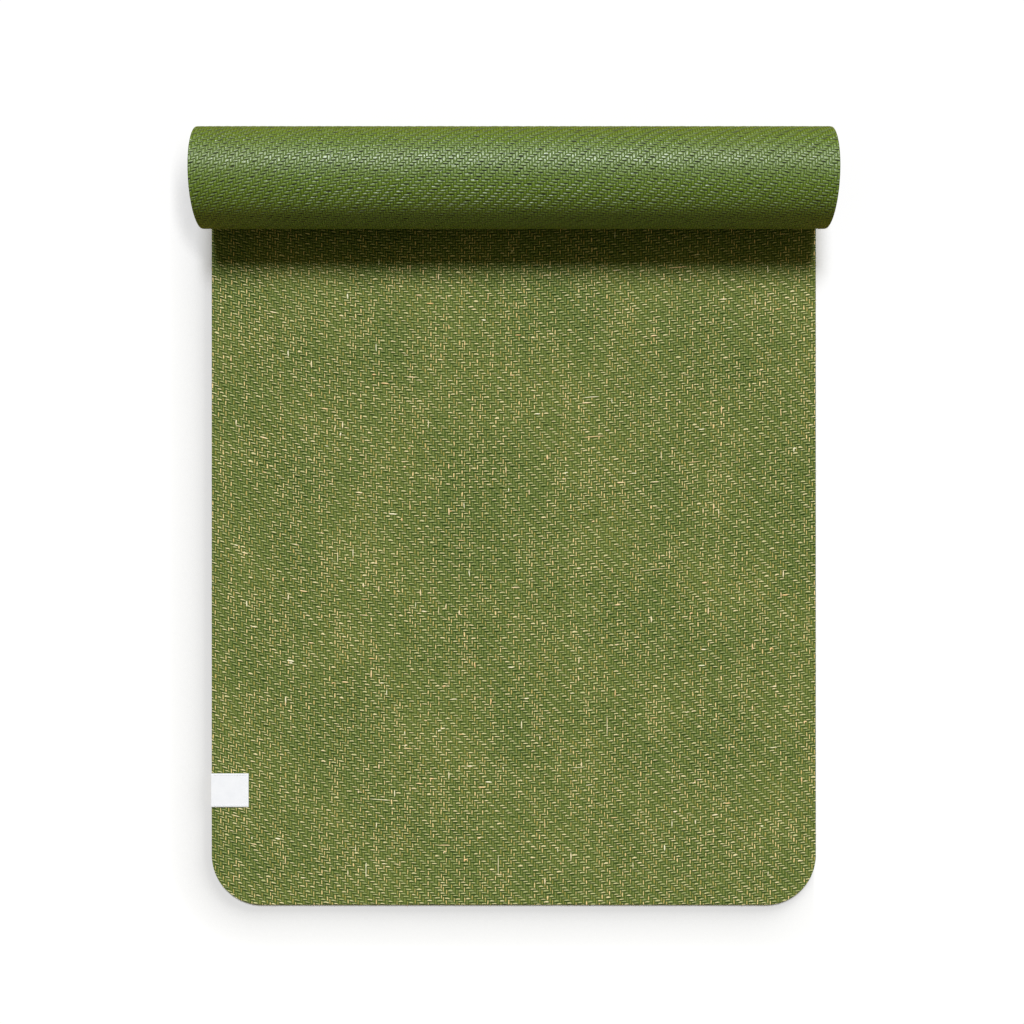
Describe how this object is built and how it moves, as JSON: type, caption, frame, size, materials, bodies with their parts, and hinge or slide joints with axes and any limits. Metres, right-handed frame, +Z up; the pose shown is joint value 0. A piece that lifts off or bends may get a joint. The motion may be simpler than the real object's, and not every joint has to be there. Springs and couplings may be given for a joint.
{
  "type": "yoga mat",
  "caption": "Rectangular jute-faced exercise mat with rounded corners, partly rolled, with a folded label on one edge; it unrolls flat on coupled bend lines.",
  "frame": {"origin": "on the floor, under the middle of the mat as it lies partly rolled", "axes": "+Y along the mat's length toward the roll, +X to the right across its width, +Z up"},
  "size_m": [0.61, 0.7698, 0.0998],
  "materials": {
    "sheet": "woven jute in a green rubbery coat: flecked with bare golden jute on the upper face, all green with a low sheen underneath",
    "label": "smooth white woven satin tape",
    "thread": "white cotton-polyester sewing thread"
  },
  "bodies": {
    "flat": {"mat_flat": "sheet", "mat_rise": "sheet", "label": "label", "label_thread_near": "thread", "label_thread_far": "thread"},
    "strip_01": {"mat_strip_01": "sheet"},
    "strip_02": {"mat_strip_02": "sheet"},
    "strip_03": {"mat_strip_03": "sheet"},
    "strip_04": {"mat_strip_04": "sheet"},
    "strip_05": {"mat_strip_05": "sheet"},
    "strip_06": {"mat_strip_06": "sheet"},
    "strip_07": {"mat_strip_07": "sheet"},
    "strip_08": {"mat_strip_08": "sheet"},
    "strip_09": {"mat_strip_09": "sheet"},
    "strip_10": {"mat_strip_10": "sheet"},
    "strip_11": {"mat_strip_11": "sheet"},
    "strip_12": {"mat_strip_12": "sheet"},
    "strip_13": {"mat_strip_13": "sheet"},
    "strip_14": {"mat_strip_14": "sheet"},
    "strip_15": {"mat_strip_15": "sheet"},
    "strip_16": {"mat_strip_16": "sheet"},
    "strip_17": {"mat_strip_17": "sheet"},
    "strip_18": {"mat_strip_18": "sheet"},
    "strip_19": {"mat_strip_19": "sheet"},
    "strip_20": {"mat_strip_20": "sheet"},
    "strip_21": {"mat_strip_21": "sheet"},
    "strip_22": {"mat_strip_22": "sheet"},
    "strip_23": {"mat_strip_23": "sheet"},
    "strip_24": {"mat_strip_24": "sheet"},
    "strip_25": {"mat_strip_25": "sheet"},
    "strip_26": {"mat_strip_26": "sheet"},
    "strip_27": {"mat_strip_27": "sheet"},
    "strip_28": {"mat_strip_28": "sheet"},
    "strip_29": {"mat_strip_29": "sheet"},
    "strip_30": {"mat_strip_30": "sheet"},
    "strip_31": {"mat_strip_31": "sheet"},
    "strip_32": {"mat_strip_32": "sheet"},
    "strip_33": {"mat_strip_33": "sheet"},
    "strip_34": {"mat_strip_34": "sheet"},
    "strip_35": {"mat_strip_35": "sheet"},
    "strip_36": {"mat_strip_36": "sheet"},
    "strip_37": {"mat_strip_37": "sheet"},
    "strip_38": {"mat_strip_38": "sheet"},
    "strip_39": {"mat_strip_39": "sheet"},
    "strip_40": {"mat_strip_40": "sheet"},
    "strip_41": {"mat_strip_41": "sheet"},
    "strip_42": {"mat_strip_42": "sheet"},
    "strip_43": {"mat_strip_43": "sheet"},
    "strip_44": {"mat_strip_44": "sheet"},
    "strip_45": {"mat_strip_45": "sheet"},
    "strip_46": {"mat_strip_46": "sheet"},
    "strip_47": {"mat_strip_47": "sheet"},
    "strip_48": {"mat_strip_48": "sheet"}
  },
  "joints": [
    {"name": "unroll", "type": "hinge", "parent": "flat", "child": "strip_01", "pos_m": [0, 0.34985, 0.00421], "axis": [-1, 0, 0], "range_deg": [0, 37.11]},
    {"name": "bend_02", "type": "hinge", "parent": "strip_01", "child": "strip_02", "pos_m": [0, 0.37475, 0.02302], "axis": [-1, 0, 0], "range_deg": [0, 37.11]},
    {"name": "bend_03", "type": "hinge", "parent": "strip_02", "child": "strip_03", "pos_m": [0, 0.38316, 0.0527], "axis": [-1, 0, 0], "range_deg": [0, 37.11]},
    {"name": "bend_04", "type": "hinge", "parent": "strip_03", "child": "strip_04", "pos_m": [0, 0.37209, 0.08112], "axis": [-1, 0, 0], "range_deg": [0, 37.11]},
    {"name": "bend_05", "type": "hinge", "parent": "strip_04", "child": "strip_05", "pos_m": [0, 0.34643, 0.09692], "axis": [-1, 0, 0], "range_deg": [0, 37.11]},
    {"name": "bend_06", "type": "hinge", "parent": "strip_05", "child": "strip_06", "pos_m": [0, 0.31678, 0.09407], "axis": [-1, 0, 0], "range_deg": [0, 37.11]},
    {"name": "bend_07", "type": "hinge", "parent": "strip_06", "child": "strip_07", "pos_m": [0, 0.29512, 0.07416], "axis": [-1, 0, 0], "range_deg": [0, 37.11]},
    {"name": "bend_08", "type": "hinge", "parent": "strip_07", "child": "strip_08", "pos_m": [0, 0.28992, 0.04556], "axis": [-1, 0, 0], "range_deg": [0, 37.11]},
    {"name": "bend_09", "type": "hinge", "parent": "strip_08", "child": "strip_09", "pos_m": [0, 0.30287, 0.01993], "axis": [-1, 0, 0], "range_deg": [0, 37.11]},
    {"name": "bend_10", "type": "hinge", "parent": "strip_09", "child": "strip_10", "pos_m": [0, 0.32833, 0.00746], "axis": [-1, 0, 0], "range_deg": [0, 37.11]},
    {"name": "bend_11", "type": "hinge", "parent": "strip_10", "child": "strip_11", "pos_m": [0, 0.35581, 0.01281], "axis": [-1, 0, 0], "range_deg": [0, 37.11]},
    {"name": "bend_12", "type": "hinge", "parent": "strip_11", "child": "strip_12", "pos_m": [0, 0.37427, 0.03339], "axis": [-1, 0, 0], "range_deg": [0, 37.11]},
    {"name": "bend_13", "type": "hinge", "parent": "strip_12", "child": "strip_13", "pos_m": [0, 0.37654, 0.06057], "axis": [-1, 0, 0], "range_deg": [0, 37.11]},
    {"name": "bend_14", "type": "hinge", "parent": "strip_13", "child": "strip_14", "pos_m": [0, 0.36214, 0.08332], "axis": [-1, 0, 0], "range_deg": [0, 37.11]},
    {"name": "bend_15", "type": "hinge", "parent": "strip_14", "child": "strip_15", "pos_m": [0, 0.33727, 0.09266], "axis": [-1, 0, 0], "range_deg": [0, 37.11]},
    {"name": "bend_16", "type": "hinge", "parent": "strip_15", "child": "strip_16", "pos_m": [0, 0.31214, 0.0852], "axis": [-1, 0, 0], "range_deg": [0, 37.11]},
    {"name": "bend_17", "type": "hinge", "parent": "strip_16", "child": "strip_17", "pos_m": [0, 0.29681, 0.06438], "axis": [-1, 0, 0], "range_deg": [0, 37.11]},
    {"name": "bend_18", "type": "hinge", "parent": "strip_17", "child": "strip_18", "pos_m": [0, 0.29714, 0.03889], "axis": [-1, 0, 0], "range_deg": [0, 37.11]},
    {"name": "bend_19", "type": "hinge", "parent": "strip_18", "child": "strip_19", "pos_m": [0, 0.31257, 0.01903], "axis": [-1, 0, 0], "range_deg": [0, 37.11]},
    {"name": "bend_20", "type": "hinge", "parent": "strip_19", "child": "strip_20", "pos_m": [0, 0.3365, 0.0126], "axis": [-1, 0, 0], "range_deg": [0, 37.11]},
    {"name": "bend_21", "type": "hinge", "parent": "strip_20", "child": "strip_21", "pos_m": [0, 0.35914, 0.02177], "axis": [-1, 0, 0], "range_deg": [0, 37.11]},
    {"name": "bend_22", "type": "hinge", "parent": "strip_21", "child": "strip_22", "pos_m": [0, 0.37148, 0.04244], "axis": [-1, 0, 0], "range_deg": [0, 37.11]},
    {"name": "bend_23", "type": "hinge", "parent": "strip_22", "child": "strip_23", "pos_m": [0, 0.36889, 0.06601], "axis": [-1, 0, 0], "range_deg": [0, 37.11]},
    {"name": "bend_24", "type": "hinge", "parent": "strip_23", "child": "strip_24", "pos_m": [0, 0.35285, 0.08298], "axis": [-1, 0, 0], "range_deg": [0, 37.11]},
    {"name": "bend_25", "type": "hinge", "parent": "strip_24", "child": "strip_25", "pos_m": [0, 0.33017, 0.08679], "axis": [-1, 0, 0], "range_deg": [0, 37.11]},
    {"name": "bend_26", "type": "hinge", "parent": "strip_25", "child": "strip_26", "pos_m": [0, 0.3101, 0.07631], "axis": [-1, 0, 0], "range_deg": [0, 37.11]},
    {"name": "bend_27", "type": "hinge", "parent": "strip_26", "child": "strip_27", "pos_m": [0, 0.30058, 0.05616], "axis": [-1, 0, 0], "range_deg": [0, 37.11]},
    {"name": "bend_28", "type": "hinge", "parent": "strip_27", "child": "strip_28", "pos_m": [0, 0.30506, 0.0347], "axis": [-1, 0, 0], "range_deg": [0, 37.11]},
    {"name": "bend_29", "type": "hinge", "parent": "strip_28", "child": "strip_29", "pos_m": [0, 0.32131, 0.02052], "axis": [-1, 0, 0], "range_deg": [0, 37.11]},
    {"name": "bend_30", "type": "hinge", "parent": "strip_29", "child": "strip_30", "pos_m": [0, 0.34247, 0.01904], "axis": [-1, 0, 0], "range_deg": [0, 37.11]},
    {"name": "bend_31", "type": "hinge", "parent": "strip_30", "child": "strip_31", "pos_m": [0, 0.35994, 0.03043], "axis": [-1, 0, 0], "range_deg": [0, 37.11]},
    {"name": "bend_32", "type": "hinge", "parent": "strip_31", "child": "strip_32", "pos_m": [0, 0.36688, 0.04972], "axis": [-1, 0, 0], "range_deg": [0, 37.11]},
    {"name": "bend_33", "type": "hinge", "parent": "strip_32", "child": "strip_33", "pos_m": [0, 0.36088, 0.06894], "axis": [-1, 0, 0], "range_deg": [0, 37.11]},
    {"name": "bend_34", "type": "hinge", "parent": "strip_33", "child": "strip_34", "pos_m": [0, 0.3448, 0.08046], "axis": [-1, 0, 0], "range_deg": [0, 37.11]},
    {"name": "bend_35", "type": "hinge", "parent": "strip_34", "child": "strip_35", "pos_m": [0, 0.32538, 0.07994], "axis": [-1, 0, 0], "range_deg": [0, 37.11]},
    {"name": "bend_36", "type": "hinge", "parent": "strip_35", "child": "strip_36", "pos_m": [0, 0.31048, 0.06804], "axis": [-1, 0, 0], "range_deg": [0, 37.11]},
    {"name": "bend_37", "type": "hinge", "parent": "strip_36", "child": "strip_37", "pos_m": [0, 0.30587, 0.0499], "axis": [-1, 0, 0], "range_deg": [0, 37.11]},
    {"name": "bend_38", "type": "hinge", "parent": "strip_37", "child": "strip_38", "pos_m": [0, 0.31299, 0.03299], "axis": [-1, 0, 0], "range_deg": [0, 37.11]},
    {"name": "bend_39", "type": "hinge", "parent": "strip_38", "child": "strip_39", "pos_m": [0, 0.32856, 0.02397], "axis": [-1, 0, 0], "range_deg": [0, 37.11]},
    {"name": "bend_40", "type": "hinge", "parent": "strip_39", "child": "strip_40", "pos_m": [0, 0.34607, 0.02613], "axis": [-1, 0, 0], "range_deg": [0, 37.11]},
    {"name": "bend_41", "type": "hinge", "parent": "strip_40", "child": "strip_41", "pos_m": [0, 0.35847, 0.03817], "axis": [-1, 0, 0], "range_deg": [0, 37.11]},
    {"name": "bend_42", "type": "hinge", "parent": "strip_41", "child": "strip_42", "pos_m": [0, 0.36105, 0.0549], "axis": [-1, 0, 0], "range_deg": [0, 37.11]},
    {"name": "bend_43", "type": "hinge", "parent": "strip_42", "child": "strip_43", "pos_m": [0, 0.35318, 0.06948], "axis": [-1, 0, 0], "range_deg": [0, 37.11]},
    {"name": "bend_44", "type": "hinge", "parent": "strip_43", "child": "strip_44", "pos_m": [0, 0.33843, 0.07622], "axis": [-1, 0, 0], "range_deg": [0, 37.11]},
    {"name": "bend_45", "type": "hinge", "parent": "strip_44", "child": "strip_45", "pos_m": [0, 0.32296, 0.07277], "axis": [-1, 0, 0], "range_deg": [0, 37.11]},
    {"name": "bend_46", "type": "hinge", "parent": "strip_45", "child": "strip_46", "pos_m": [0, 0.31293, 0.06096], "axis": [-1, 0, 0], "range_deg": [0, 37.11]},
    {"name": "bend_47", "type": "hinge", "parent": "strip_46", "child": "strip_47", "pos_m": [0, 0.31207, 0.04584], "axis": [-1, 0, 0], "range_deg": [0, 37.11]},
    {"name": "bend_48", "type": "hinge", "parent": "strip_47", "child": "strip_48", "pos_m": [0, 0.32031, 0.03356], "axis": [-1, 0, 0], "range_deg": [0, 37.11]}
  ],
  "couplings": [
    {"joint": "bend_02", "follows": "unroll", "ratio": 1},
    {"joint": "bend_03", "follows": "unroll", "ratio": 1},
    {"joint": "bend_04", "follows": "unroll", "ratio": 1},
    {"joint": "bend_05", "follows": "unroll", "ratio": 1},
    {"joint": "bend_06", "follows": "unroll", "ratio": 1},
    {"joint": "bend_07", "follows": "unroll", "ratio": 1},
    {"joint": "bend_08", "follows": "unroll", "ratio": 1},
    {"joint": "bend_09", "follows": "unroll", "ratio": 1},
    {"joint": "bend_10", "follows": "unroll", "ratio": 1},
    {"joint": "bend_11", "follows": "unroll", "ratio": 1},
    {"joint": "bend_12", "follows": "unroll", "ratio": 1},
    {"joint": "bend_13", "follows": "unroll", "ratio": 1},
    {"joint": "bend_14", "follows": "unroll", "ratio": 1},
    {"joint": "bend_15", "follows": "unroll", "ratio": 1},
    {"joint": "bend_16", "follows": "unroll", "ratio": 1},
    {"joint": "bend_17", "follows": "unroll", "ratio": 1},
    {"joint": "bend_18", "follows": "unroll", "ratio": 1},
    {"joint": "bend_19", "follows": "unroll", "ratio": 1},
    {"joint": "bend_20", "follows": "unroll", "ratio": 1},
    {"joint": "bend_21", "follows": "unroll", "ratio": 1},
    {"joint": "bend_22", "follows": "unroll", "ratio": 1},
    {"joint": "bend_23", "follows": "unroll", "ratio": 1},
    {"joint": "bend_24", "follows": "unroll", "ratio": 1},
    {"joint": "bend_25", "follows": "unroll", "ratio": 1},
    {"joint": "bend_26", "follows": "unroll", "ratio": 1},
    {"joint": "bend_27", "follows": "unroll", "ratio": 1},
    {"joint": "bend_28", "follows": "unroll", "ratio": 1},
    {"joint": "bend_29", "follows": "unroll", "ratio": 1},
    {"joint": "bend_30", "follows": "unroll", "ratio": 1},
    {"joint": "bend_31", "follows": "unroll", "ratio": 1},
    {"joint": "bend_32", "follows": "unroll", "ratio": 1},
    {"joint": "bend_33", "follows": "unroll", "ratio": 1},
    {"joint": "bend_34", "follows": "unroll", "ratio": 1},
    {"joint": "bend_35", "follows": "unroll", "ratio": 1},
    {"joint": "bend_36", "follows": "unroll", "ratio": 1},
    {"joint": "bend_37", "follows": "unroll", "ratio": 1},
    {"joint": "bend_38", "follows": "unroll", "ratio": 1},
    {"joint": "bend_39", "follows": "unroll", "ratio": 1},
    {"joint": "bend_40", "follows": "unroll", "ratio": 1},
    {"joint": "bend_41", "follows": "unroll", "ratio": 1},
    {"joint": "bend_42", "follows": "unroll", "ratio": 1},
    {"joint": "bend_43", "follows": "unroll", "ratio": 1},
    {"joint": "bend_44", "follows": "unroll", "ratio": 1},
    {"joint": "bend_45", "follows": "unroll", "ratio": 1},
    {"joint": "bend_46", "follows": "unroll", "ratio": 1},
    {"joint": "bend_47", "follows": "unroll", "ratio": 1},
    {"joint": "bend_48", "follows": "unroll", "ratio": 1}
  ]
}
